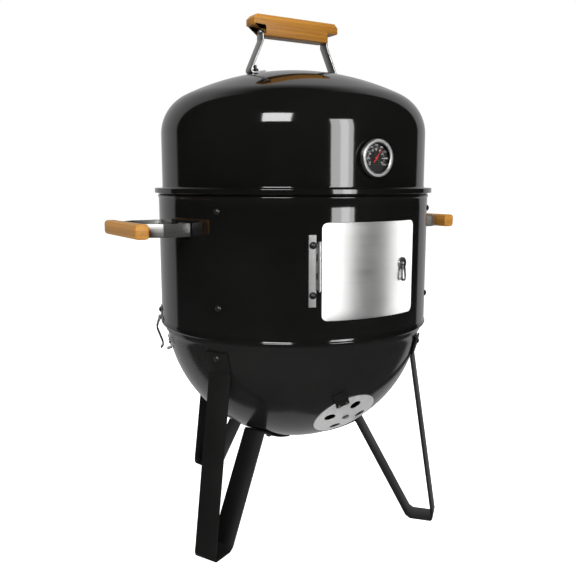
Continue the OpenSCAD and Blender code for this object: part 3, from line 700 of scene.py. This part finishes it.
GRIP_X = 281.75
for side, word in ((1, "left"), (-1, "right")):
    across = (Matrix.Scale(MM, 4)
              @ Matrix(((0, side, 0, 0), (0, 0, 1, 0), (1, 0, 0, HANDLE_Z), (0, 0, 0, 1))))
    add(f"handle_strap_{word}_bent", sweep(f"strap_{word}", handle_path(), STRAP_W, STRAP_T, across),
        STRAP_STEEL, "barrel", [f"handle_strap_{word}"])
    section = rounded_rect(10, -10.5, 10.5, 6.0)
    place = (Matrix.Scale(MM, 4) @ Matrix.Translation((-side * GRIP_X, 0, HANDLE_Z))
             @ Matrix.Rotation(math.pi / 2, 4, "X"))
    add(f"side_wood_{word}", prism(f"side_wood_{word}", section, GRIP_LEN, place, 2.5, 4, 6), BAMBOO_Y,
        "barrel", [f"side_grip_{word}"], 50)


# ---------- wire clips ----------

for word, az in (("left", -CLIP_AZ), ("right", CLIP_AZ)):
    eye = Matrix.Scale(MM, 4) @ Matrix.Rotation(math.radians(az), 4, "Z")
    half = [(10, -218.4, 328.5), (9.6, -221.6, 321), (9.2, -223.9, 312.5), (8.6, -219.4, 300),
            (7.6, -214.6, 287), (7.0, -214.8, 283), (6.2, -217.9, 278.8)]
    other = [(-x, y, z) for x, y, z in reversed(half)]
    bail = round_line([(0.2, -218.4, 328.5)] + half + other + [(-0.2, -218.4, 328.5)], 2.5)
    wires(f"clip_bail_{word}", [bail], 1.25, ZINC, f"{word}_clip", [f"clip_wire_{word}"], eye)


# ---------- grates and pan ----------

def grate(name, node, body, r, z, pitch, ring_r, bar_r, material):
    """Round wires welded to a rim: parallel bars and two cross bars under them."""
    ring = [(r * math.sin(a), -r * math.cos(a), z) for a in (2 * math.pi * k / 96 for k in range(97))]
    lines = []
    inside = r - 0.6
    reach = int((r - pitch / 2) / pitch)
    for k in range(-reach, reach + 1):
        x = k * pitch
        y = math.sqrt(inside ** 2 - x * x)
        lines.append([(x, -y, z + 0.3), (x, y, z + 0.3)])
    for y in (-0.45 * r, 0.45 * r):
        x = math.sqrt(inside ** 2 - y * y)
        lines.append([(-x, y, z - 0.2), (x, y, z - 0.2)])
    wires(name + "_rim", [ring], ring_r, material, body, [node])
    wires(name + "_bars", lines, bar_r, material, body, (), sides=2)


for name, node, body, r, z in (("upper_grate_wire", "upper_grate", "cooking_grate_upper", 202, 518.3),
                               ("lower_grate_wire", "lower_grate", "cooking_grate_lower", 200, 396.4)):
    grate(name, node, body, r, z, 15, 2.0, 1.5, CHROME)
grate("charcoal_grate_wire", "charcoal_grate", "charcoal_tray", 179.7, 240, 20, 2.0, 1.7, ZINC)

pan = fillet([(0, 324.1), (149, 324.1), (182.6, 392.4), (197.4, 392.4), (199.7, 393.0), (199.7, 393.7),
              (197.4, 393.8), (182.0, 393.8), (148.2, 325.6), (0, 325.6)], 7, steps=6)
add("pan_bowl", lathe("pan_bowl", pan, segments=128), ENAMEL, "pan", ["water_pan"])


# ---------- bowl ----------

def bowl_arc(r, top_z):
    """Bowl wall from the rim's height down to the bottom."""
    rim_angle = math.degrees(math.acos((top_z - BOWL_Z) / r))
    return arc(0, BOWL_Z, r, rim_angle, 180, 2.5)


def bowl_profile():
    """Band round the rim, the wall down to the bottom, and its inside back up."""
    soft, band_in = 0.9, BOWL_BAND_R - SHEET
    band = [(BOWL_BAND_R - soft, BOWL_BAND_TOP), (BOWL_BAND_R, BOWL_BAND_TOP - soft), (BOWL_BAND_R, 320),
            (BOWL_BAND_R, 312.0), (BOWL_BAND_R - 0.4, 311.2), (BOWL_BAND_R - 2.1, 310.9)]
    wall = bowl_arc(BOWL_R, 309.6) + bowl_arc(BOWL_R - SHEET, 311.5)[::-1]
    return band + wall + [(band_in, 312.8), (band_in, BOWL_BAND_TOP)]


bowl = add("bowl_wall", lathe("bowl_wall", bowl_profile(), segments=224), BOWL_ENAMEL, "bowl", ["bowl_shell"])
vents = bmesh.new()
for k in range(4):
    a = math.radians(90 * k + VENT_TURN)
    spot = Matrix.Translation((VENT_RING_R * math.cos(a), VENT_RING_R * math.sin(a), BOWL_R))
    bmesh.ops.create_cone(vents, cap_ends=True, segments=40, radius1=VENT_R, radius2=VENT_R, depth=24,
                          matrix=spot)
cut(bowl, mesh_of("vents", vents, on_bowl(0, DAMPER_DOWN)))


def on_sphere(down):
    """Point in the middle of a leg strap that lies on the bowl, so many degrees below the horizon."""
    r = BOWL_R + GAP + LEG_T / 2
    return (r * math.cos(math.radians(down)), BOWL_Z - r * math.sin(math.radians(down)))


foot = [(FOOT_OUTER_R - 5.5, 7), (FOOT_OUTER_R - 7, LEG_T / 2),
        (FOOT_INNER_R + 6, LEG_T / 2), (FOOT_INNER_R - 1, 6)]
bends = [on_sphere(16.5), on_sphere(18)] + foot + [on_sphere(57.5), on_sphere(60)]
leg_path = ([on_sphere(down) for down in (9, 11, 13, 15, 16.5)]
            + fillet(bends, 3.0, steps=5)[1:-1]
            + [on_sphere(down) for down in (60, 63, 66, 69, 72, 75, 77, 79.1)])
for name, az in LEG_AZ.items():
    add(name + "_strap", sweep(name, leg_path, LEG_W, LEG_T, radial(az), 0.7), LEG_PAINT, "bowl", [name])


# ---------- thermometer ----------

# The thermometer's heights above the lid's wall, its radii, and half of its scale's turn in degrees
DIAL_TOP = 4.7
MARK_Z = 4.82
NUMBER_Z = 4.8
NEEDLE_Z = 5.6
NUMBER_RING_R = 17.3
SCALE_IN_R = 13.9
SCALE_OUT_R = 14.7
SCALE_TURN = 130

gauge = facing(0, LID_R, GAUGE_Z)
case = [(3.2, 0.25), (23.7, 0.25), (24.5, 1.0), (24.5, 7.5), (23.3, 7.5), (23.3, 1.5), (3.2, 1.5)]
add("gauge_cup", lathe("gauge_cup", case, gauge, 96), BLACK_BOLT, "lid", ["gauge_case"])
ring = fillet([(24.6, 4.5), (26, 4.5), (26, 9.4), (24.9, 11.0), (21.6, 11.0), (20.1, 9.9), (20.3, 9.5),
               (24.55, 9.6)], 0.8, True, 4)
add("gauge_ring", lathe("gauge_ring", ring, gauge, 128), STAINLESS, "lid", ["gauge_bezel"])
face = [(1.0, 4.65), (1.0, 3.9), (23.1, 3.9), (23.1, 4.6), (22.0, DIAL_TOP), (1.4, DIAL_TOP)]
add("gauge_face", lathe("gauge_face", face, gauge, 96), DIAL, "lid", ["gauge_dial"])


def tick_marks():
    """White scale: an arc, and wide and narrow ticks inside it."""
    bm = bmesh.new()

    def patch(r0, r1, a0, a1, steps):
        for k in range(steps):
            quad = []
            for r, t in ((r0, k), (r1, k), (r1, k + 1), (r0, k + 1)):
                a = math.radians(a0 + (a1 - a0) * t / steps)
                quad.append(bm.verts.new((r * math.sin(a), r * math.cos(a), MARK_Z)))
            bm.faces.new(quad)

    patch(SCALE_IN_R, SCALE_OUT_R, -SCALE_TURN, SCALE_TURN, 60)
    for k in range(27):
        a = 10 * k - SCALE_TURN
        reach, half = (10.2, 2.6) if k % 3 == 1 else (12.4, 1.2)
        patch(reach, SCALE_IN_R - 0.5, a - half, a + half, 1)
    bmesh.ops.recalc_face_normals(bm, faces=bm.faces)
    made = bmesh.ops.extrude_face_region(bm, geom=bm.faces[:])
    lifted = [v for v in made["geom"] if isinstance(v, bmesh.types.BMVert)]
    bmesh.ops.translate(bm, verts=lifted, vec=(0, 0, -0.1))
    return mesh_of("gauge_marks", bm, gauge)


add("gauge_marks", tick_marks(), MARKS, "lid", ())


def scale_number(k):
    """Number on the dial, from 50 up in steps of 50, every 30 degrees."""
    a = math.radians(30 * k - 120)
    text = bpy.data.curves.new(f"gauge_number_{k}", "FONT")
    text.body = str(50 * (k + 1))
    text.size = 3.9
    text.extrude = 0.05
    text.resolution_u = 2
    text.align_x, text.align_y = "CENTER", "CENTER"
    flat = bpy.data.objects.new(f"gauge_number_{k}_flat", text)
    bpy.context.scene.collection.objects.link(flat)
    bpy.context.view_layer.update()
    number = bpy.data.meshes.new_from_object(flat.evaluated_get(bpy.context.evaluated_depsgraph_get()))
    bpy.data.objects.remove(flat)
    spot = Matrix.Translation((NUMBER_RING_R * math.sin(a), NUMBER_RING_R * math.cos(a), NUMBER_Z))
    number.transform(gauge @ spot)
    return number


for k in range(9):
    add(f"gauge_number_{k}", scale_number(k), MARKS, "lid", ())

needle_place = gauge @ Matrix.Rotation(math.radians(NEEDLE_TURN), 4, "Z")
blade_place = needle_place @ Matrix.Translation((0, 0, NEEDLE_Z))
pointer = fillet([(-1.1, -7), (1.1, -7), (0.4, 16.3), (-0.4, 16.3)], 0.3, True, 3)
add("needle_blade", prism("needle_blade", pointer, 0.6, blade_place, 0.12, 2), RED, "needle",
    ["gauge_needle"])
hub = [(0, 2.3), (0.9, 2.3), (0.9, 5.1), (2.2, 5.1), (2.2, 5.9), (1.7, 6.3), (0, 6.4)]
add("needle_hub", lathe("needle_hub", hub, gauge, 32), RED, "needle", ())


# ---------- studio ----------

def studio_floor():
    """Pale floor that looks white to the camera and lights the smoker only a little."""
    material = bpy.data.materials.new("floor_pale")
    material.use_nodes = True
    nodes = Nodes(material.node_tree)
    glow, dull = nodes.new("ShaderNodeEmission"), nodes.new("ShaderNodeBsdfDiffuse")
    rays = nodes.new("ShaderNodeLightPath")
    nodes.link(nodes.spread(rays.outputs["Is Camera Ray"], 0.15, 1.0, 0.0, 1.0), glow.inputs["Strength"])
    cloud = nodes.noise(nodes.stretched((1, 1, 1)), 1.5, 2.0)
    nodes.link(nodes.blend(cloud, (0.90, 0.90, 0.90), (0.93, 0.93, 0.93)), dull.inputs["Color"])
    mix, output = nodes.new("ShaderNodeAddShader"), nodes.new("ShaderNodeOutputMaterial")
    nodes.link(glow.outputs[0], mix.inputs[0])
    nodes.link(dull.outputs[0], mix.inputs[1])
    nodes.link(mix.outputs[0], output.inputs[0])
    bm = bmesh.new()
    bmesh.ops.create_grid(bm, x_segments=8, y_segments=8, size=9.0)
    mesh = bpy.data.meshes.new("studio_floor")
    bm.to_mesh(mesh)
    bm.free()
    mesh.materials.append(material)
    floor = bpy.data.objects.new("studio_floor", mesh)
    floor.location = (0, 0, -0.0004)
    floor.visible_glossy = False
    bpy.context.scene.collection.objects.link(floor)


studio_floor()

RIGHT = HEADING.cross(Vector((0, 0, 1)))


def towards(side, up):
    """Direction from the smoker, side degrees right of the camera's and up degrees above the horizon."""
    a, e = math.radians(side), math.radians(up)
    return (-HEADING * math.cos(a) + RIGHT * math.sin(a)) * math.cos(e) + Vector((0, 0, 1)) * math.sin(e)


def softbox(name, side, up, distance, width, height, radiance, glossy=True, only=None):
    """Rectangular area light aimed at the smoker's middle. A collection given as only limits what it lights."""
    light = bpy.data.lights.new(name, "AREA")
    light.shape = "RECTANGLE"
    light.size, light.size_y = width, height
    light.energy = radiance * math.pi * width * height
    lamp = bpy.data.objects.new(name, light)
    out = towards(side, up)
    lamp.location = Vector((0, 0, 0.6)) + out * distance
    lamp.rotation_mode = "QUATERNION"
    lamp.rotation_quaternion = (-out).to_track_quat("-Z", "Y")
    lamp.visible_glossy = glossy
    if only:
        lamp.light_linking.receiver_collection = only
    bpy.context.scene.collection.objects.link(lamp)


door_only = bpy.data.collections.new("door_only")
door_only.objects.link(door)
not_metal = bpy.data.collections.new("not_metal")
for piece in (door, bpy.data.objects["handle_strap_left_bent"]):
    not_metal.objects.link(piece)
for member in not_metal.collection_objects:
    member.light_linking.link_state = "EXCLUDE"
softbox("softbox_tall", 38.7, 6, 2.6, 0.86, 1.28, 9.5, True, not_metal)
softbox("softbox_strip", 40.5, 5, 2.5, 0.3, 1.18, 4.0, True, not_metal)
softbox("softbox_high", -13.5, 24, 2.6, 1.0, 0.85, 17.0)
softbox("overhead_fill", 10, 78, 2.4, 1.8, 1.8, 5.0, False)
softbox("front_fill", -25, 15, 3.0, 1.6, 1.6, 1.2, False)

softbox("door_left", 18, 5, 2.6, 2.3, 3.6, 2.9, True, door_only)
softbox("door_right", 106, 5, 2.6, 2.1, 3.6, 2.5, True, door_only)


def studio_world():
    """White backdrop behind the smoker, a dark room in front, and white wherever the camera looks."""
    world = bpy.data.worlds.new("studio")
    bpy.context.scene.world = world
    world.use_nodes = True
    nodes = Nodes(world.node_tree)
    direction = nodes.new("ShaderNodeTexCoord").outputs["Generated"]
    split = nodes.new("ShaderNodeSeparateXYZ")
    nodes.link(direction, split.inputs[0])

    def along(axis):
        dot = nodes.new("ShaderNodeVectorMath", operation="DOT_PRODUCT")
        nodes.link(direction, dot.inputs[0])
        dot.inputs[1].default_value = axis
        return dot.outputs["Value"]

    angle = nodes.math("ARCTAN2", along(RIGHT), along(HEADING))
    rise = nodes.math("ARCSINE", split.outputs["Z"])
    left = nodes.spread(angle, 0, 1, math.radians(-66), math.radians(-63))
    right = nodes.spread(angle, 1, 0, math.radians(47), math.radians(50))
    top = nodes.spread(rise, 0.52, 0, math.radians(48), math.radians(70))
    back = nodes.math("MULTIPLY", nodes.math("MULTIPLY", left, right), top)
    ground = nodes.spread(rise, 0.06, 0, math.radians(-14), math.radians(-4))
    glow = nodes.math("MAXIMUM", nodes.math("MAXIMUM", back, ground), 0.014)
    rays = nodes.new("ShaderNodeLightPath")
    seen = nodes.math("MAXIMUM", glow, rays.outputs["Is Camera Ray"])
    background, output = nodes.new("ShaderNodeBackground"), nodes.new("ShaderNodeOutputWorld")
    background.inputs["Color"].default_value = (1, 1, 1, 1)
    nodes.link(seen, background.inputs["Strength"])
    nodes.link(background.outputs[0], output.inputs[0])


studio_world()

camera = bpy.data.objects.new("camera", bpy.data.cameras.new("camera"))
camera.data.lens = LENS
camera.data.sensor_width = 36
camera.location = CAMERA_AT
look = HEADING * math.cos(PITCH) + Vector((0, 0, 1)) * math.sin(PITCH)
camera.rotation_mode = "QUATERNION"
camera.rotation_quaternion = look.to_track_quat("-Z", "Y")
bpy.context.scene.collection.objects.link(camera)
bpy.context.scene.camera = camera
bpy.context.scene.view_settings.view_transform = "Standard"
